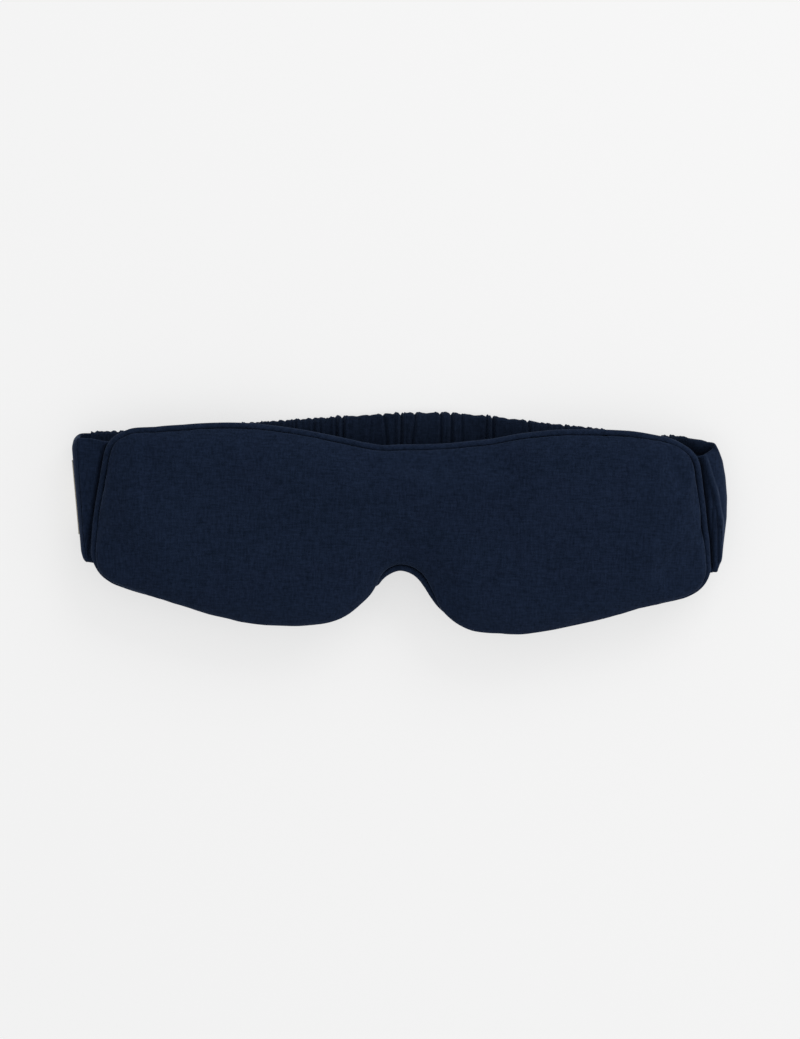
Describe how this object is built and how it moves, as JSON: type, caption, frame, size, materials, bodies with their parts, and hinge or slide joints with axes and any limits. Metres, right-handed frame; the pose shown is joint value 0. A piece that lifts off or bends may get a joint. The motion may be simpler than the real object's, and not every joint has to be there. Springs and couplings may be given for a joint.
{
  "type": "sleep eye mask",
  "caption": "Padded fabric sleep mask with a piped edge, nose notch and lobes over the cheeks, lying on its gathered elastic head strap.",
  "frame": {"origin": "middle of the whole mask's box, on the surface that the folded strap lies on", "axes": "+X along the mask towards its right end in the front view, +Y towards its top edge, +Z out of the front panel, away from the face side"},
  "size_m": [0.254, 0.0842, 0.0205],
  "materials": {
    "navy_knit": "matte",
    "strap_knit": "matte",
    "wadding": "matte",
    "blackout_cloth": "matte",
    "cotton_cord": "matte",
    "elastic_web": "matte",
    "thread": "satin",
    "label_cloth": "satin"
  },
  "bodies": {
    "strap": {"strap_casing": "strap_knit", "strap_elastic": "elastic_web", "casing_seam_stitches": "thread", "left_join_stitches": "thread", "right_join_stitches": "thread"},
    "mask": {"front_cover": "navy_knit", "front_wadding": "wadding", "blackout_lining": "blackout_cloth", "back_wadding": "wadding", "back_cover": "navy_knit", "piping_cover": "navy_knit", "piping_cord": "cotton_cord", "perimeter_seam_stitches": "thread", "left_tab": "navy_knit", "right_tab": "navy_knit", "blank_label": "label_cloth", "label_tacks": "thread"}
  },
  "joints": [
    {"name": "loop_opening", "type": "slide", "parent": "strap", "child": "mask", "axis": [0, 0, 1], "range_m": [0, 0.08], "stiffness_N_per_m": 40, "deforming": ["left_tab", "right_tab", "blank_label", "label_tacks"]}
  ]
}
